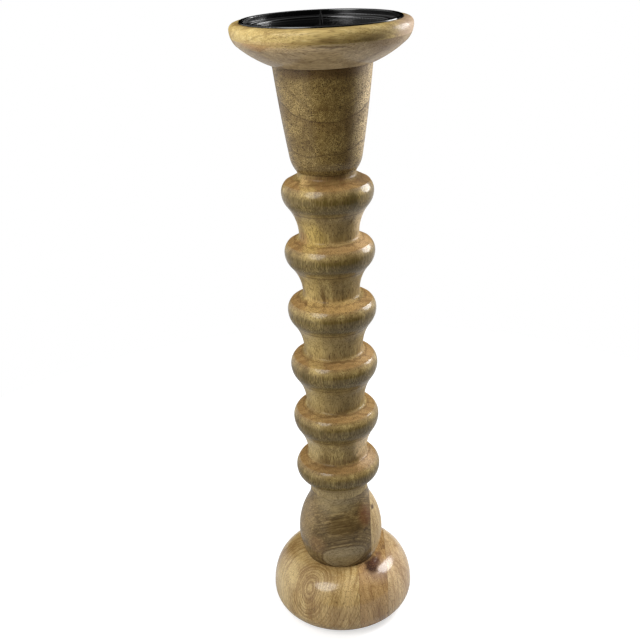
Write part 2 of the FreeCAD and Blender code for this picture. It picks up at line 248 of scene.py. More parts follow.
def crooked(finish, place, size, amount):
    """The place, pushed about by a noise with features of that size, so that what follows isn't straight."""
    spread = vector_step(finish, "SCALE", place, 1 / size)
    values = {"Vector": spread, "Scale": 1.0, "Detail": 2.0, "Roughness": 0.5}
    push = finish.node("ShaderNodeTexNoise", None, values, output=1)
    centred = vector_step(finish, "SUBTRACT", push, (0.5, 0.5, 0.5))
    return vector_step(finish, "ADD", place, vector_step(finish, "SCALE", centred, amount))


def from_pith(finish, place, pith, fibre):
    """How far out in the log a place is: its distance from the line through pith along the fibre."""
    offset = vector_step(finish, "SUBTRACT", place, pith)
    sideways = vector_step(finish, "CROSS_PRODUCT", offset, tuple(fibre))
    return vector_step(finish, "LENGTH", sideways, output=1)


def layers(finish, distance, spacing):
    """Irregular growth layers about spacing mm thick, 0 to 1."""
    values = {"W": distance * (1 / spacing), "Scale": 1.0, "Detail": 2.0, "Roughness": 0.55}
    return finish.node("ShaderNodeTexNoise", {"noise_dimensions": "1D"}, values)


def spot(finish, place, centre, radii):
    """1 inside an egg-shaped patch of the wood, fading out round its edge."""
    offset = vector_step(finish, "SUBTRACT", place, centre)
    scaled = vector_step(finish, "DIVIDE", offset, radii)
    distance = vector_step(finish, "LENGTH", scaled, output=1)
    return fade(finish, distance, 1 + spot_edge, 1 - spot_edge)


def apply_stains_and_painted_light(finish, place, colour, tint_patches):
    """Colours patches of the wood: some are stain, some painted light and shade. A patch is its centre, its
    radii, its colour and its strength.
    """
    for centre, radii, tint, strength in tint_patches:
        colour = tinted(finish, colour, spot(finish, place, centre, radii), strength, tint)
    return colour


print("noise helpers ready")

# %% [markdown]
# ## The lacquer
# All the wood has one clear satin lacquer, so one function ends every wood. A board brings its colour,
# its bumps, its pores and its gloss, because the lacquer lies thicker on the base than on the dish, and
# necks, ledges and knots drank some of it. The lacquer is the shader's coat: it lies over a duller base,
# and it is thinner over the pores, which break up the highlights.

# %% Lacquered wood surface
def lacquered(finish, colour, height, open_pores, gloss):
    """Ends a wood: its colour, bumps and pores under the satin lacquer."""
    relief = finish.node("ShaderNodeBump", None, {
        "Strength": 0.12, "Distance": 0.0004, "Height": height})
    surface = finish.node("ShaderNodeBsdfPrincipled", None, {
        "Base Color": colour,
        "Roughness": 0.6,
        "Normal": relief,
        "Specular IOR Level": 0.1,
        "Coat Weight": gloss * (1 - open_pores * 0.6),
        "Coat Roughness": 0.17,
        "Coat IOR": 1.5,
    })
    finish.node("ShaderNodeOutputMaterial", None, {"Surface": surface})
    return finish.material


def dress(material, *names):
    """Gives a CAD node's object its finish. The node's mesh stays as it is."""
    for name in names:
        for slot in nodes[name].material_slots:
            slot.link = "OBJECT"
            slot.material = material
        print(name, "is dressed in", material.name)


# %% [markdown]
# ## A board
# Each block was turned from its own board, so each has its own colours and its own fibre direction, but
# the steps are the same: broad clouds of tone, streaks, fine fibres, the figure that makes the board
# special, and the pores on top. The figure is a function that the board brings along.

# %% Mix a board
cloud_stretch = 4
streak_in_tone = 0.6
pale_to_middle = (0.38, 0.50)
middle_to_dark = (0.49, 0.62)


class Board:
    """One board's fibre direction, its three tones and the sizes of its clouds, streaks and pores.
    Its seed moves it to its own stretch of the noise."""

    def __init__(self, name, fibre, pale, middle, dark, seed):
        self.name = name
        self.fibre = Vector(fibre).normalized()
        self.pale = pale
        self.middle = middle
        self.dark = dark
        self.seed = seed
        self.figure = None
        self.streak_share = 0.55
        self.cloud_width = 16.0
        self.pore_tint = shade(72, 50, 24)
        self.pore_strength = 0.6
        self.pore_width = 0.5
        self.pore_length = 3.6
        self.pore_start = 0.57
        self.fleck_width = 0.95
        self.fleck_length = 6.0
        self.fleck_start = 0.53
        self.fleck_strength = 0.35
        self.gloss = 0.55
        self.dull_places = None

    def material(self):
        """Clouds and streaks of tone, then the figure, the flecks and the pores, all under lacquer."""
        finish = Finish(self.name)
        place = place_in_mm(finish)
        shift = (self.seed, self.seed * 1.7, self.seed * 2.3)
        own_place = vector_step(finish, "ADD", place, shift)
        clouds = fibres(finish, own_place, self.fibre, self.cloud_width, self.cloud_width * cloud_stretch)
        streaks = fibres(finish, own_place, self.fibre, width=3.2, length=70.0)
        thin = fibres(finish, own_place, self.fibre, width=0.8, length=16.0)
        lines = streaks * streak_in_tone + thin * (1 - streak_in_tone)
        tone = clouds * (1 - self.streak_share) + lines * self.streak_share
        colour = blended(finish, fade(finish, tone, *pale_to_middle), self.pale, self.middle)
        colour = blended(finish, fade(finish, tone, *middle_to_dark), colour, self.dark)
        if self.figure:
            colour = self.figure(finish, place, colour)
        flecks = pores(finish, own_place, self.fibre, self.fleck_width, self.fleck_length, self.fleck_start)
        colour = tinted(finish, colour, flecks, self.fleck_strength, self.dark)
        open_pores = pores(finish, own_place, self.fibre, self.pore_width, self.pore_length, self.pore_start)
        colour = tinted(finish, colour, open_pores, self.pore_strength, self.pore_tint)
        gloss = self.gloss
        if self.dull_places:
            gloss = (1 - self.dull_places(finish, place)) * gloss
        return lacquered(finish, colour, thin * 0.4 - open_pores, open_pores, gloss)


print("boards can be mixed")

# %% [markdown]
# ## The spindle
# The long spindle has upright fibres, so its bright and dark streaks run down from ring to ring. A band
# of yellow sapwood crosses the left of the necks, and the saw came close to the heart low down on the
# right, where one neck changes its colour along a sharp upright line. Dark specks sit where a neck meets
# its ledge, and a dark line in that crease is painted shade. Where the cutter went across the fibre, on
# the ledges, the wood drank more lacquer and turned a duller, warmer brown. Under each ring a fine turned
# step is painted as colour: a dark line of painted shade with a pale painted highlight a little over it,
# repeating at the rings' pitch. Some pale patches on the sides of the necks are painted light, and the
# neck under the cup is painted darker as shade.

# %% Dress the spindle
spindle_ring_pitch = 47.5
step_shade_height = 362.0
step_highlight_rise = 4.0
crease_shade_radius = 26.4
ring_dark_radii = (29.0, 32.5)
sapwood_sides = (-18.5, -11.0)
sapwood_rise = (170.0, 250.0)
two_tone_neck = (148.0, 176.0)
two_tone_edge = (26.2, 27.2)
ledge_pale = shade(168, 133, 82)
ledge_dark = shade(136, 101, 58)
spindle_pith = (-14.0, 120.0, 0.0)
# Mostly stain, with painted light and shade among them: the pale patches on the left and right sides of
# several necks are painted light, and the dark patch on the neck under the cup is painted shade.
spindle_stains_and_painted_light = [
    ((27.0, -10.0, 339.0), (9.0, 16.0, 6.0), shade(214, 178, 130), 0.6),
    ((27.0, -10.0, 244.5), (9.0, 16.0, 6.0), shade(204, 168, 120), 0.35),
    ((27.0, -10.0, 149.5), (9.0, 16.0, 6.0), shade(206, 180, 150), 0.4),
    ((27.0, -6.0, 387.0), (9.0, 16.0, 6.0), shade(106, 86, 66), 0.6),
    ((0.0, -27.0, 291.5), (30.0, 15.0, 4.5), shade(188, 152, 92), 0.6),
    ((0.0, -27.0, 339.0), (24.0, 15.0, 4.0), shade(166, 134, 88), 0.4),
    ((-11.0, -21.0, 344.0), (9.0, 9.0, 9.0), shade(214, 184, 96), 0.4),
    ((-20.0, -13.0, 342.0), (5.0, 7.0, 5.0), shade(140, 98, 60), 0.5),
    ((19.0, -29.0, 375.0), (4.5, 9.0, 7.0), shade(76, 66, 26), 0.75),
    ((26.5, -22.5, 374.5), (4.0, 9.0, 7.0), shade(206, 172, 88), 0.55),
    ((3.0, -25.0, 387.0), (26.0, 12.0, 3.2), shade(130, 96, 56), 0.55),
    ((11.0, -22.0, 387.0), (3.0, 4.0, 4.0), shade(88, 54, 22), 0.6),
    ((-16.5, -17.0, 387.0), (3.5, 6.0, 3.5), shade(228, 192, 128), 0.6),
    ((-6.5, -22.0, 295.0), (1.2, 8.0, 9.0), shade(92, 62, 22), 0.7),
    ((-20.0, -16.5, 292.0), (1.6, 4.0, 3.5), shade(96, 62, 26), 0.6),
    ((-18.6, -16.0, 245.5), (1.8, 5.0, 3.5), shade(84, 54, 24), 0.7),
    ((6.0, -25.0, 243.8), (9.0, 3.5, 1.2), shade(78, 50, 20), 0.75),
    ((3.5, -25.5, 196.8), (8.0, 3.5, 1.2), shade(70, 44, 18), 0.85),
    ((-21.0, -17.0, 197.5), (4.0, 4.5, 2.6), shade(104, 72, 36), 0.6),
    ((-1.0, -19.0, 389.5), (18.0, 10.0, 4.5), shade(106, 76, 40), 0.7),
    ((24.0, -9.0, 357.0), (6.0, 12.0, 13.0), shade(228, 202, 158), 0.6),
    ((0.0, -27.0, 244.0), (28.0, 14.0, 4.0), shade(122, 90, 50), 0.35),
    ((0.0, -27.0, 197.0), (28.0, 13.0, 3.0), shade(124, 94, 54), 0.3),
    ((-20.0, -13.0, 259.0), (7.0, 14.0, 14.0), shade(206, 182, 120), 0.45),
    ((2.0, -22.0, 262.0), (24.0, 10.0, 16.0), shade(180, 156, 104), 0.3),
    ((2.0, -22.0, 213.0), (24.0, 10.0, 16.0), shade(170, 148, 98), 0.3),
    ((20.0, -16.0, 166.0), (8.0, 14.0, 13.0), shade(236, 208, 158), 0.6),
    ((-20.0, -13.0, 211.0), (7.0, 14.0, 14.0), shade(206, 182, 124), 0.4),
    ((-20.0, -13.0, 163.0), (8.0, 14.0, 14.0), shade(214, 190, 134), 0.65),
    ((0.0, -26.0, 149.5), (30.0, 17.0, 5.0), shade(112, 84, 48), 0.5),
    ((0.0, -22.0, 120.5), (26.0, 16.0, 8.0), shade(206, 184, 138), 0.55),
]


def from_axis(finish, place):
    """Distance from the turning axis."""
    flat_place = vector_step(finish, "MULTIPLY", place, (1.0, 1.0, 0.0))
    return vector_step(finish, "LENGTH", flat_place, output=1)


def upward_share(finish):
    """1 on a surface that faces up, 0 on an upright one, -1 on one that faces down."""
    return along(finish, finish.node("ShaderNodeNewGeometry", output=1), z_axis)


def on_ledges(finish, place, start, end):
    """1 on the rings' ledges, fading out over their top edges and short of the necks."""
    beyond_neck = fade(finish, from_axis(finish, place), 24.5, 26.5)
    return fade(finish, upward_share(finish), start, end) * beyond_neck


def ledge_tint(finish, place, colour):
    """A warm brown with growth layers, where the cutter went across the fibre."""
    rough = crooked(finish, place, size=12.0, amount=8.0)
    years = layers(finish, from_pith(finish, rough, spindle_pith, z_axis), spacing=4.0)
    end_tint = blended(finish, fade(finish, years, 0.36, 0.74), ledge_pale, ledge_dark)
    return tinted(finish, colour, on_ledges(finish, place, 0.45, 0.75), strength=0.85, tint=end_tint)


def painted_step_lines(finish, place, colour):
    """Painted shade in a dark line under each ring's fine step, and a painted highlight a little over it."""
    lowest = along(finish, place, z_axis) - (step_shade_height - spindle_ring_pitch / 2)
    above_line = lowest.maths("FLOORED_MODULO", lowest, spindle_ring_pitch) - spindle_ring_pitch / 2
    # Painted shade in the dark line and a painted highlight in the pale line, for the fine step under each
    # ring.
    painted_step_shade = line_at(finish, above_line, 0.0, 1.3)
    painted_step_highlight = line_at(finish, above_line, step_highlight_rise, 1.5)
    colour = tinted(finish, colour, painted_step_shade, strength=0.58, tint=shade(84, 64, 36))
    return tinted(finish, colour, painted_step_highlight, strength=0.4, tint=shade(186, 164, 118))


def spindle_figure(finish, place, colour):
    """Warm ledges, sapwood, patches of stain and of painted light and shade, painted step lines under the
    rings, painted shade in the neck creases, and the dark lower sides of the rings.
    """
    colour = ledge_tint(finish, place, colour)
    rough = crooked(finish, place, size=5.0, amount=7.0)
    sideways = along(finish, rough, x_axis)
    height = along(finish, rough, z_axis)
    in_front = fade(finish, along(finish, rough, y_axis), -4.0, -11.0)
    sapwood = between(finish, sideways, *sapwood_sides, 3.0) * in_front * fade(finish, height, *sapwood_rise)
    colour = tinted(finish, colour, sapwood, strength=0.45, tint=shade(212, 184, 114))
    beyond_edge = fade(finish, sideways + height * 0.07, *two_tone_edge) * in_front
    beyond_edge = beyond_edge * between(finish, height, *two_tone_neck, 3.0)
    colour = tinted(finish, colour, beyond_edge, strength=0.7, tint=shade(214, 178, 128))
    colour = apply_stains_and_painted_light(finish, rough, colour, spindle_stains_and_painted_light)
    colour = painted_step_lines(finish, place, colour)
    # Painted shade: a dark line in the crease where each neck meets its ledge.
    painted_crease_shade = line_at(finish, from_axis(finish, rough), crease_shade_radius, 1.3)
    painted_crease_shade = painted_crease_shade * fade(finish, upward_share(finish), 0.25, 0.6)
    colour = tinted(finish, colour, painted_crease_shade, strength=0.5, tint=shade(92, 66, 34))
    steep = fade(finish, upward_share(finish), 0.48, 0.06)
    grain = fade(finish, fibres(finish, place, z_axis, width=0.7, length=8.0), 0.40, 0.60)
    on_bead = fade(finish, from_axis(finish, place), *ring_dark_radii) * steep * (0.45 + grain * 0.5)
    return blended(finish, on_bead, colour, shade(80, 66, 16))


def spindle_dull_places(finish, place):
    """1 where the necks and ledges drank the lacquer."""
    on_neck = fade(finish, from_axis(finish, place), 28.5, 25.5) * 0.65
    return 1 - (1 - on_neck) * (1 - on_ledges(finish, place, 0.72, 0.90) * 0.95)


spindle_wood = Board(
    "spindle_wood", fibre=(0.02, 0.0, 1.0), seed=3.0,
    pale=shade(191, 167, 107), middle=shade(155, 131, 81), dark=shade(116, 95, 52))
spindle_wood.pore_strength = 0.72
spindle_wood.fleck_strength = 0.5
spindle_wood.gloss = 0.58
spindle_wood.dull_places = spindle_dull_places
spindle_wood.figure = spindle_figure
dress(spindle_wood.material(), "spindle")

# %% [markdown]
# ## The cup
# The cup's fibres point at the viewer, so its front shows cut fibre ends: a dense speckle of round pores,
# and growth layers that hang like garlands, because the heart of the log lay high up behind the front.
# Three thin dark lines, one of them faint, mark dry years.

# %% Dress the cup
cup_pith_height = 464.0
cup_flatness = 1.3
dark_band_edges = ((31.6, 32.4), (42.0, 33.0))
dish_shadow_rise = (460.0, 465.5)


def garland(finish, place, pith_x):
    """Distance from the log's heart, measured in the upright plane that faces the viewer."""
    offset = vector_step(finish, "SUBTRACT", place, (pith_x, 0.0, cup_pith_height))
    flat = vector_step(finish, "MULTIPLY", offset, (1 / cup_flatness, 0.0, 1.0))
    return vector_step(finish, "LENGTH", flat, output=1)


# Painted light and shade: a pale band of painted light on the cup's right side, a dark upright band of
# painted shade right of the middle, and a pale patch of painted light at the upper left.
cup_painted_light_and_shade = [
    ((36.0, -14.0, 432.0), (12.0, 24.0, 50.0), shade(228, 200, 150), 0.8),
    ((16.5, -28.0, 416.0), (4.0, 12.0, 28.0), shade(84, 62, 28), 0.5),
    ((-22.0, -24.0, 452.0), (13.0, 12.0, 16.0), shade(190, 164, 108), 0.3),
]


def cup_figure(finish, place, colour):
    """Garlands of growth layers, the dry years, painted light and shade on the cup's sides, and the painted
    shadow under the dish.
    """
    rough = crooked(finish, place, size=12.0, amount=4.5)
    colour = apply_stains_and_painted_light(finish, rough, colour, cup_painted_light_and_shade)
    inner = garland(finish, rough, 2.0)
    outer = garland(finish, rough, -8.0)
    years = fade(finish, layers(finish, inner, spacing=5.0), 0.42, 0.62)
    colour = tinted(finish, colour, years, strength=0.25, tint=shade(112, 88, 44))
    band = fade(finish, inner, *dark_band_edges[0]) * fade(finish, inner, *dark_band_edges[1])
    colour = tinted(finish, colour, band, strength=0.35, tint=shade(96, 68, 34))
    dry_years = ((inner, 32.0, 0.75, 0.8), (outer, 56.5, 0.7, 0.8), (inner, 22.5, 1.2, 0.3))
    for distance, radius, half_width, strength in dry_years:
        dry_year = line_at(finish, distance, radius, half_width)
        colour = tinted(finish, colour, dry_year, strength, shade(66, 46, 20))
    height = along(finish, rough, z_axis)
    in_front = fade(finish, along(finish, rough, y_axis), -8.0, -30.0)
    # Painted shadow of the dish across the top of the cup's front.
    painted_dish_shadow = fade(finish, height, *dish_shadow_rise) * in_front
    return tinted(finish, colour, painted_dish_shadow, strength=0.65, tint=shade(74, 44, 24))


cup_wood = Board(
    "cup_wood", fibre=y_axis, seed=11.0,
    pale=shade(172, 147, 90), middle=shade(143, 119, 68), dark=shade(104, 82, 40))
cup_wood.figure = cup_figure
cup_wood.cloud_width = 14.0
cup_wood.pore_strength = 0.95
cup_wood.pore_start = 0.515
cup_wood.fleck_width = 0.85
cup_wood.fleck_strength = 0.75
cup_wood.pore_tint = shade(58, 42, 18)
dress(cup_wood.material(), "cup")

# %% [markdown]
# ## The dish
# The dish was glued from two boards with level fibres. The upper one is golden at the left and turns olive
# and brown towards the right, and its colour leaks a little over the glue line, so the join shows as a
# ragged change of tone. Its right end has a pale pinkish painted highlight. The lower one is a pinkish grey
# brown.

# %% Dress the dish
dish_upper_stains_and_highlight = [
    ((-40.0, -50.0, 489.7), (34.0, 20.0, 1.1), shade(176, 142, 98), 0.45),
    ((3.5, -64.5, 491.6), (8.0, 6.0, 2.0), shade(96, 68, 28), 0.7),
    ((-14.0, -63.0, 490.2), (9.0, 7.0, 1.2), shade(142, 114, 58), 0.45),
    ((20.0, -61.0, 492.5), (10.0, 7.0, 2.6), shade(132, 106, 58), 0.4),
    ((36.0, -55.0, 491.0), (14.0, 9.0, 2.6), shade(100, 78, 46), 0.65),
    ((22.0, -60.0, 490.0), (34.0, 9.0, 1.6), shade(96, 76, 34), 0.6),
    ((-56.0, -20.0, 499.3), (16.0, 30.0, 0.7), shade(150, 104, 56), 0.5),
    # The next patch is a painted highlight: the pale pinkish right end.
    ((62.0, -20.0, 494.0), (15.0, 30.0, 11.0), shade(190, 162, 144), 0.72),
]
dish_lower_stains = [
    ((-34.0, -52.0, 488.8), (28.0, 20.0, 2.0), shade(200, 170, 102), 0.55),
    ((7.0, -63.0, 487.2), (11.0, 6.0, 0.8), shade(78, 58, 34), 0.7),
    ((-44.0, -44.0, 487.5), (16.0, 12.0, 3.0), shade(190, 140, 84), 0.4),
    ((0.0, -60.0, 489.2), (64.0, 30.0, 1.6), shade(150, 126, 74), 0.45),
    ((44.0, -42.0, 485.0), (16.0, 20.0, 7.0), shade(120, 92, 62), 0.4),
]


def dish_figure(tint_patches):
    """Level bands and patches of stain for one of the dish's boards, with a painted highlight among the
    upper board's patches.
    """
    def figure(finish, place, colour):
        rough = crooked(finish, place, size=10.0, amount=4.0)
        bands = layers(finish, along(finish, rough, (0.0, 0.4, 1.0)), spacing=2.4)
        dark_bands = fade(finish, bands, 0.52, 0.66)
        colour = tinted(finish, colour, dark_bands, strength=0.3, tint=shade(112, 88, 52))
        return apply_stains_and_painted_light(finish, rough, colour, tint_patches)
    return figure


dish_upper_wood = Board(
    "dish_upper_wood", fibre=x_axis, seed=21.0,
    pale=shade(214, 191, 130), middle=shade(196, 170, 107), dark=shade(150, 124, 73))
dish_upper_wood.gloss = 0.24
dish_upper_wood.pore_strength = 0.4
dish_upper_wood.pore_length = 6.0
dish_upper_wood.fleck_length = 12.0
dish_upper_wood.figure = dish_figure(dish_upper_stains_and_highlight)
dish_lower_wood = Board(
    "dish_lower_wood", fibre=x_axis, seed=31.0,
    pale=shade(198, 172, 130), middle=shade(174, 150, 110), dark=shade(140, 116, 82))
dish_lower_wood.gloss = 0.4
dish_lower_wood.figure = dish_figure(dish_lower_stains)
dress(dish_upper_wood.material(), "dish_upper_board")
dress(dish_lower_wood.material(), "dish_lower_board")

# %% [markdown]
# ## The ball
# The ball's fibres lie almost level and rise a little to the right. Where its surface touches a growth
# layer flatly, the layer opens into a grey eye with dark outlines. That needs no painting: the layers are
# round the log's heart, the heart lay a little in front of the ball, and the ball's own curve draws the
# eye. A narrow strip of paler wood is glued to the right side, with one small knot.

# %% Dress the ball
ball_fibre = Vector((0.985, 0.0, 0.174)).normalized()
ball_pith = (3.8, -50.0, 61.5)
ball_glue_x = 25.4
ball_eye_edge = (21.0, 19.4)
glue_half_width = 0.45
ball_eye_lines = ((18.4, 0.4, 0.35), (20.8, 0.7, 0.6), (22.6, 0.5, 0.5), (25.5, 0.7, 0.35))
ball_stains_and_painted_light = [
    ((8.0, -30.0, 66.0), (22.0, 10.0, 9.0), shade(168, 148, 110), 0.3),
    ((21.5, -22.0, 98.0), (6.0, 10.0, 9.0), shade(112, 66, 38), 0.55),
    ((-20.0, -26.0, 74.0), (8.0, 8.0, 9.0), shade(150, 112, 74), 0.35),
    ((4.0, -32.0, 92.0), (14.0, 9.0, 6.0), shade(84, 62, 30), 0.35),
    # The next two patches are painted light: the paler top and left side of the ball.
    ((-6.0, -26.0, 113.0), (20.0, 14.0, 10.0), shade(180, 160, 116), 0.6),
    ((-31.0, -14.0, 92.0), (11.0, 14.0, 20.0), shade(182, 156, 112), 0.4),
]


def glue_line(finish, place, colour, glue_x):
    """The thin dark line where two boards meet."""
    seam = line_at(finish, along(finish, place, x_axis), glue_x, glue_half_width)
    return tinted(finish, colour, seam, strength=0.4, tint=shade(84, 52, 28))


def ball_figure(finish, place, colour):
    """Growth layers that open into the grey eye, with its outlines."""
    rough = crooked(finish, place, size=14.0, amount=5.0)
    depth = from_pith(finish, crooked(finish, place, size=16.0, amount=3.0), ball_pith, ball_fibre)
    years = fade(finish, layers(finish, depth, spacing=1.5), 0.50, 0.60)
    colour = tinted(finish, colour, years, strength=0.55, tint=shade(80, 58, 30))
    eye = fade(finish, depth, *ball_eye_edge)
    colour = tinted(finish, colour, eye, strength=0.5, tint=shade(180, 162, 122))
    flecks = pores(finish, rough, z_axis, width=0.9, length=6.0, start=0.55)
    colour = tinted(finish, colour, eye * flecks, strength=0.5, tint=shade(112, 98, 66))
    for radius, half_width, strength in ball_eye_lines:
        outline = line_at(finish, depth, radius, half_width)
        colour = tinted(finish, colour, outline, strength, shade(70, 50, 24))
    colour = apply_stains_and_painted_light(finish, rough, colour, ball_stains_and_painted_light)
    return glue_line(finish, place, colour, ball_glue_x)


strip_knot = ((27.7, -11.4, 99.0), (2.4, 3.0, 2.0), shade(66, 42, 22), 0.9)


def strip_figure(finish, place, colour):
    """The pale strip's small knot."""
    rough = crooked(finish, place, size=4.0, amount=4.0)
    colour = apply_stains_and_painted_light(finish, rough, colour, [strip_knot])
    return glue_line(finish, place, colour, ball_glue_x)


ball_wood = Board(
    "ball_wood", fibre=ball_fibre, seed=41.0,
    pale=shade(158, 134, 88), middle=shade(119, 98, 58), dark=shade(76, 60, 32))
ball_wood.streak_share = 0.75
ball_wood.figure = ball_figure
strip_wood = Board(
    "ball_strip_wood", fibre=z_axis, seed=51.0,
    pale=shade(212, 188, 138), middle=shade(188, 160, 110), dark=shade(142, 112, 70))
strip_wood.figure = strip_figure
dress(ball_wood.material(), "ball_main_block")
dress(strip_wood.material(), "ball_side_strip")

# %% [markdown]
# ## The base
# The dome was glued from three upright boards. The left one carries a big eye of growth layers, drawn by
# the dome's own curve as on the ball, with pale flames beside it. The middle board is browner, with
# straight upright lines and a dark reddish knot, and the right one is a plain tan.

# %% Dress the base
eye_place = Vector((-28.6, -45.4, 41.2))
eye_outward = Vector((-0.409, -0.655, 0.636))
eye_fibre = Vector((0.337, 0.539, 0.772)).normalized()
eye_rings = ((10.3, 0.35), (11.5, 0.25), (12.6, 0.3), (14.0, 0.3), (15.7, 0.45), (18.0, 0.4))
base_left_glue_x = 13.7
base_right_glue_x = 38.2
eye_pith_distance = 10.0
eye_pith = tuple(eye_place + eye_outward * eye_pith_distance)
base_left_stains_and_painted_light = [
    ((-42.0, -28.0, 44.0), (4.0, 12.0, 13.0), shade(230, 204, 142), 0.55),
    ((-36.0, -16.0, 50.0), (4.0, 8.0, 6.0), shade(226, 198, 134), 0.4),
    ((-15.0, -52.0, 40.0), (4.0, 9.0, 10.0), shade(222, 192, 130), 0.35),
    ((4.5, -54.0, 38.0), (5.0, 9.0, 14.0), shade(224, 192, 132), 0.6),
    ((-8.0, -58.0, 22.0), (7.0, 6.0, 9.0), shade(138, 104, 60), 0.4),
    # The next patch is painted light on the dome's left side.
    ((-53.0, -24.0, 26.0), (12.0, 20.0, 20.0), shade(228, 206, 156), 0.4),
]
knot_centre = (24.8, -30.2, 50.2)
knot_radii = (5.4, 7.5, 6.2)
knot_stains = [
    ((29.0, -30.0, 47.0), (12.0, 13.0, 10.0), shade(136, 104, 84), 0.6),
    (knot_centre, knot_radii, shade(50, 25, 17), 0.97),
    ((28.5, -23.5, 51.3), (4.6, 6.0, 4.6), shade(74, 42, 32), 0.92),
    ((32.5, -15.0, 51.2), (2.6, 4.5, 2.6), shade(120, 84, 64), 0.6),
    ((37.0, -4.0, 50.8), (2.6, 3.0, 2.4), shade(96, 66, 48), 0.6),
]


def knot_is_dull(finish, place):
    """A knot drinks the lacquer and stays dull."""
    return spot(finish, crooked(finish, place, size=4.0, amount=6.0), knot_centre, knot_radii) * 0.95


def base_left_figure(finish, place, colour):
    """The big eye, its rings and the pale flames beside it."""
    rough = crooked(finish, place, size=9.0, amount=7.0)
    depth = from_pith(finish, crooked(finish, place, size=16.0, amount=2.6), eye_pith, eye_fibre)
    rings = layers(finish, depth, spacing=2.6)
    dark_rings = fade(finish, rings, 0.48, 0.60)
    colour = tinted(finish, colour, dark_rings, strength=0.55, tint=shade(136, 101, 56))
    for radius, half_width in eye_rings:
        ring = line_at(finish, depth, radius, half_width)
        colour = tinted(finish, colour, ring, strength=0.55, tint=shade(124, 88, 46))
    colour = apply_stains_and_painted_light(finish, rough, colour, base_left_stains_and_painted_light)
    return glue_line(finish, place, colour, base_left_glue_x)


def base_middle_figure(finish, place, colour):
    """Straight upright layers and the reddish knot."""
    rough = crooked(finish, place, size=8.0, amount=5.0)
    rings = layers(finish, along(finish, rough, (1.0, 0.25, 0.1)), spacing=2.0)
    dark_rings = fade(finish, rings, 0.48, 0.64)
    colour = tinted(finish, colour, dark_rings, strength=0.45, tint=shade(128, 92, 58))
    colour = apply_stains_and_painted_light(finish, crooked(finish, place, size=4.0, amount=6.0), colour, knot_stains)
    colour = glue_line(finish, place, colour, base_left_glue_x)
    return glue_line(finish, place, colour, base_right_glue_x)


def base_right_figure(finish, place, colour):
    """Plain upright layers."""
    rough = crooked(finish, place, size=8.0, amount=5.0)
    rings = layers(finish, along(finish, rough, (1.0, 0.2, 0.0)), spacing=2.6)
    dark_rings = fade(finish, rings, 0.50, 0.66)
    colour = tinted(finish, colour, dark_rings, strength=0.35, tint=shade(156, 118, 78))
    return glue_line(finish, place, colour, base_right_glue_x)


base_left_wood = Board(
    "base_left_wood", fibre=(0.0, 0.25, 1.0), seed=61.0,
    pale=shade(212, 185, 128), middle=shade(192, 161, 104), dark=shade(154, 121, 72))
base_left_wood.gloss = 1.0
base_left_wood.figure = base_left_figure
base_middle_wood = Board(
    "base_middle_wood", fibre=z_axis, seed=71.0,
    pale=shade(206, 173, 118), middle=shade(185, 149, 97), dark=shade(144, 108, 63))
base_middle_wood.gloss = 1.0
base_middle_wood.dull_places = knot_is_dull
base_middle_wood.figure = base_middle_figure
base_right_wood = Board(
    "base_right_wood", fibre=z_axis, seed=81.0,
    pale=shade(218, 190, 144), middle=shade(198, 167, 120), dark=shade(162, 129, 88))
base_right_wood.gloss = 1.0
base_right_wood.figure = base_right_figure
dress(base_left_wood.material(), "base_left_board")
dress(base_middle_wood.material(), "base_middle_board")
dress(base_right_wood.material(), "base_right_board")

# %% [markdown]
# ## The dowels
# Beech dowels hold the four blocks together. Nobody sees them until the stand is taken apart, but they
# get their wood all the same.

# %% Dress the dowels
dowel_wood = Board(
    "dowel_wood", fibre=z_axis, seed=91.0,
    pale=shade(226, 196, 146), middle=shade(210, 176, 124), dark=shade(186, 150, 100))
dress(dowel_wood.material(), "base_dowel", "spindle_dowel", "cup_dowel",
      "dish_dowel_left", "dish_dowel_right")

# %% [markdown]
# ## The black pan
# The pan is spun steel under smooth gloss enamel. A black that is nearly zero leaves only the reflections
# to show its steps. The spike has a thinner, duller coat and is a little less black, so it hardly stands
# out from the wall behind it.

# %% Dress the pan and its spike
def black_paint(name, level, coat):
    """Nearly black enamel. A coat near 0 is dull and a coat near 1 is glossy."""
    finish = Finish(name)
    place = place_in_mm(finish)
    skin = noise(finish, vector_step(finish, "SCALE", place, 0.12), detail=1.0)
    paler = level * 1.5
    colour = blended(finish, skin, (level, level, level, 1.0), (paler, paler, paler, 1.0))
    surface = finish.node("ShaderNodeBsdfPrincipled", None, {
        "Base Color": colour,
        "Roughness": 0.6,
        "Specular IOR Level": 0.0,
        "Coat Weight": coat,
        "Coat Roughness": 0.16,
        "Coat IOR": 1.85,
    })
    finish.node("ShaderNodeOutputMaterial", None, {"Surface": surface})
    return finish.material


dress(black_paint("gloss_enamel", level=0.0006, coat=0.66), "pan")
dress(black_paint("spike_black", level=0.004, coat=0.05), "pricket")

# %% [markdown]
# ## Zinc and felt
# The screws and the washer are zinc-plated, with a slightly uneven grey shine. The felt under the base is
# deep green, dull, and lumpy with wool, which a bump and a little sheen show well enough at this
# distance.

# %% Dress the screws, the washer and the felt
def zinc():
    """Zinc plating with an uneven, spangled shine."""
    finish = Finish("zinc_steel")
    place = place_in_mm(finish)
    spangle = noise(finish, vector_step(finish, "SCALE", place, 0.6), detail=3.0)
    surface = finish.node("ShaderNodeBsdfPrincipled", None, {
        "Base Color": blended(finish, spangle, shade(196, 196, 186), shade(160, 162, 160)),
        "Metallic": 1.0,
        "Roughness": 0.28 + spangle * 0.2,
    })
    finish.node("ShaderNodeOutputMaterial", None, {"Surface": surface})
    return finish.material


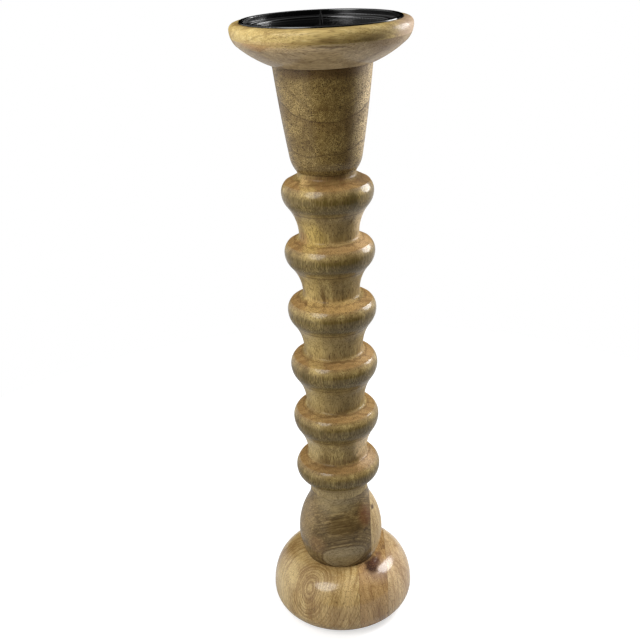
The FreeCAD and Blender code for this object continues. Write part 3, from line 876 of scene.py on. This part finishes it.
def felt():
    """Dull green wool."""
    finish = Finish("felt")
    place = place_in_mm(finish)
    nap = noise(finish, vector_step(finish, "SCALE", place, 3.0), detail=3.0)
    relief = finish.node("ShaderNodeBump", None, {"Strength": 0.6, "Distance": 0.0004, "Height": nap})
    surface = finish.node("ShaderNodeBsdfPrincipled", None, {
        "Base Color": blended(finish, nap, shade(34, 48, 34), shade(58, 76, 56)),
        "Roughness": 0.95,
        "Normal": relief,
        "Sheen Weight": 0.4,
    })
    finish.node("ShaderNodeOutputMaterial", None, {"Surface": surface})
    return finish.material


dress(zinc(), "base_screw_front", "base_screw_back", "dish_screw", "pricket_washer")
felt_material = felt()
dress(felt_material, "felt_pad")

# %% [markdown]
# ## The felt's nap
# A cut edge of felt is never clean: short wool hairs stand out of it all the way round. A Python loop
# could place each hair, but Geometry Nodes say it more plainly: points on a ring, a thin cone on each
# point, a random lean and size. The tree's sizes are named inputs, so that the nap can be made longer or
# denser, and its seeds are fixed, so that it comes out the same each time. Realize Instances turns the
# copies into faces of their own, which the export needs. All lengths are in metres, and no hair reaches
# the floor or the wood over the felt.

# %% Build the nap's tree
nap_sizes = {"Hairs": 640, "Ring Radius": 0.0459, "Lowest": 0.00025, "Highest": 0.00075,
             "Hair Length": 0.0009, "Hair Radius": 0.00004}
nap_tree = bpy.data.node_groups.new("felt_nap", "GeometryNodeTree")
nap_inputs = {}
for name, value in nap_sizes.items():
    kind = "NodeSocketInt" if isinstance(value, int) else "NodeSocketFloat"
    nap_inputs[name] = nap_tree.interface.new_socket(name, in_out="INPUT", socket_type=kind)
nap_tree.interface.new_socket("Nap", in_out="OUTPUT", socket_type="NodeSocketGeometry")
nap = Finish("felt_nap", nap_tree)
entry = nap_tree.nodes.new("NodeGroupInput")
given = {name: Wire(nap, entry.outputs[name]) for name in nap_sizes}


def chance(low, high, seed):
    """A different number from low to high for each hair."""
    return nap.node("FunctionNodeRandomValue", {"data_type": "FLOAT"}, {2: low, 3: high, 8: seed}, output=1)


hair_number = nap.node("GeometryNodeInputIndex")
turn = hair_number.maths("DIVIDE", hair_number, given["Hairs"]) * math.tau
rightward = turn.maths("COSINE", turn, 0.0)
backward = turn.maths("SINE", turn, 0.0)
root = nap.node("ShaderNodeCombineXYZ", None, {
    0: rightward * given["Ring Radius"],
    1: backward * given["Ring Radius"],
    2: chance(given["Lowest"], given["Highest"], 1),
})
lean = nap.node("ShaderNodeCombineXYZ", None, {
    0: rightward + chance(-0.5, 0.5, 2),
    1: backward + chance(-0.5, 0.5, 3),
    2: chance(-0.1, 0.1, 4),
})
roots = nap.node("GeometryNodePoints", None, {"Count": given["Hairs"], "Position": root})
hair = nap.node("GeometryNodeMeshCone", {"fill_type": "TRIANGLE_FAN"}, {
    "Vertices": 3, "Radius Top": 0.0, "Radius Bottom": given["Hair Radius"], "Depth": given["Hair Length"]})
aim = nap.node("FunctionNodeAlignRotationToVector", {"axis": "Z"}, {"Vector": lean})
copies = nap.node("GeometryNodeInstanceOnPoints", None, {
    "Points": roots, "Instance": hair, "Rotation": aim, "Scale": chance(0.5, 1.0, 5)})
faces = nap.node("GeometryNodeRealizeInstances", None, {"Geometry": copies})
woolly = nap.node("GeometryNodeSetMaterial", None, {"Geometry": faces, "Material": felt_material})
nap.node("NodeGroupOutput", None, {"Nap": woolly})
print("the nap's tree has", len(nap_tree.nodes), "nodes")

# %% [markdown]
# The tree runs on a carrier object with an empty mesh. Its inputs are set by each socket's identifier,
# the result is kept as a plain mesh, and the carrier and its modifier go away.

# %% Grow the nap
carrier = bpy.data.objects.new("nap_carrier", bpy.data.meshes.new("nap_carrier"))
bpy.context.scene.collection.objects.link(carrier)
growth = carrier.modifiers.new("felt_nap", "NODES")
growth.node_group = nap_tree
for name, value in nap_sizes.items():
    growth[nap_inputs[name].identifier] = value
grown = carrier.evaluated_get(bpy.context.evaluated_depsgraph_get())
felt_nap = bpy.data.objects.new("felt_nap", bpy.data.meshes.new_from_object(grown))
bpy.data.objects.remove(carrier)
bpy.context.scene.collection.objects.link(felt_nap)
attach(felt_nap, "stand")
print("the nap has", len(felt_nap.data.polygons), "faces")

# %% [markdown]
# ## Light
# The bright edges and dull front of the stand tell how the studio was lit: white all round, a little
# dimmer overhead, with a dim gap at the front, a little to the right of the photographer. The black pan
# mirrors the studio's far end and stays dark, so that end was dark too. The small highlights tell of two
# round soft boxes: one to the right and a little behind the stand, which draws the bright spot on the
# dome, and one high at the front left. In the world's shader the gap, the far end and the dimmer top are
# masks on the direction of the light. Camera rays skip them and see white.

# %% Hang the soft boxes and light the room
def soft_box(name, place, aim, width, height, power):
    """A round soft lamp at place that looks at aim."""
    lamp = bpy.data.lights.new(name, "AREA")
    lamp.shape = "ELLIPSE"
    lamp.size = width
    lamp.size_y = height
    lamp.energy = power
    holder = bpy.data.objects.new(name, lamp)
    bpy.context.scene.collection.objects.link(holder)
    holder.location = place
    holder.rotation_euler = (Vector(aim) - Vector(place)).to_track_quat("-Z", "Y").to_euler()
    print(name, "gives", power, "W")


soft_box("right_box", place=(0.50, 0.23, 0.52), aim=(0, 0, 0.2),
         width=0.36, height=0.36, power=4.2)
soft_box("left_box", place=(-0.36, -0.42, 0.80), aim=(0, 0, 0.25),
         width=0.46, height=0.60, power=3.9)

gap_turn = math.radians(24)
gap_direction = (math.sin(gap_turn), -math.cos(gap_turn), 0.0)
gap_level = 0.03
side_level = 0.97
far_end_direction = (0.0, 0.94, 0.34)
overhead_dimming = 0.45
world = bpy.data.worlds.new("studio")
bpy.context.scene.world = world
world.use_nodes = True
studio = Finish("studio", world.node_tree)
direction = studio.node("ShaderNodeTexCoord", output=0)
gap = fade(studio, along(studio, direction, gap_direction), 0.28, 0.68)
level = side_level - (side_level - gap_level) * gap
far_end = fade(studio, along(studio, direction, far_end_direction), 0.70, 0.86)
overhead = fade(studio, along(studio, direction, z_axis), 0.60, 0.92)
level = level * (1 - far_end) * (1 - overhead * overhead_dimming)
camera_rays = studio.node("ShaderNodeLightPath", output=0)
strength = level * (1 - camera_rays) + camera_rays
background = studio.node("ShaderNodeBackground", None, {"Color": (1, 1, 1, 1), "Strength": strength})
studio.node("ShaderNodeOutputWorld", None, {"Surface": background})

# %% [markdown]
# ## Floor
# The stand stands on a round sheet of grey paper. Camera rays get some extra glow from it, so that it
# looks white and runs into the white behind it, while the soft shadow under the base stays.

# %% Lay the floor
floor_radius = 0.6
floor_corners = 96
floor_drop = 0.0002
paper_grey = 0.6
camera_glow = 0.62
corner_turns = [2 * math.pi * number / floor_corners for number in range(floor_corners)]
floor_mesh = bpy.data.meshes.new("floor")
floor_mesh.from_pydata(
    [(floor_radius * math.cos(turn), floor_radius * math.sin(turn), 0.0) for turn in corner_turns],
    [], [list(range(floor_corners))])
floor = bpy.data.objects.new("floor", floor_mesh)
bpy.context.scene.collection.objects.link(floor)
floor.location.z = -floor_drop
paper = Finish("paper")
grey = (paper_grey, paper_grey, paper_grey, 1)
plain = paper.node("ShaderNodeBsdfDiffuse", None, {"Color": grey})
seen = paper.node("ShaderNodeLightPath", output=0)
glow_settings = {"Color": (1, 1, 1, 1), "Strength": seen * camera_glow}
glow = paper.node("ShaderNodeEmission", None, glow_settings)
sheet_surface = paper.node("ShaderNodeAddShader", None, {0: plain, 1: glow})
paper.node("ShaderNodeOutputMaterial", None, {"Surface": sheet_surface})
floor_mesh.materials.append(paper.material)
bpy.context.scene.view_settings.view_transform = "Standard"
print("floor radius:", floor_radius, "m")
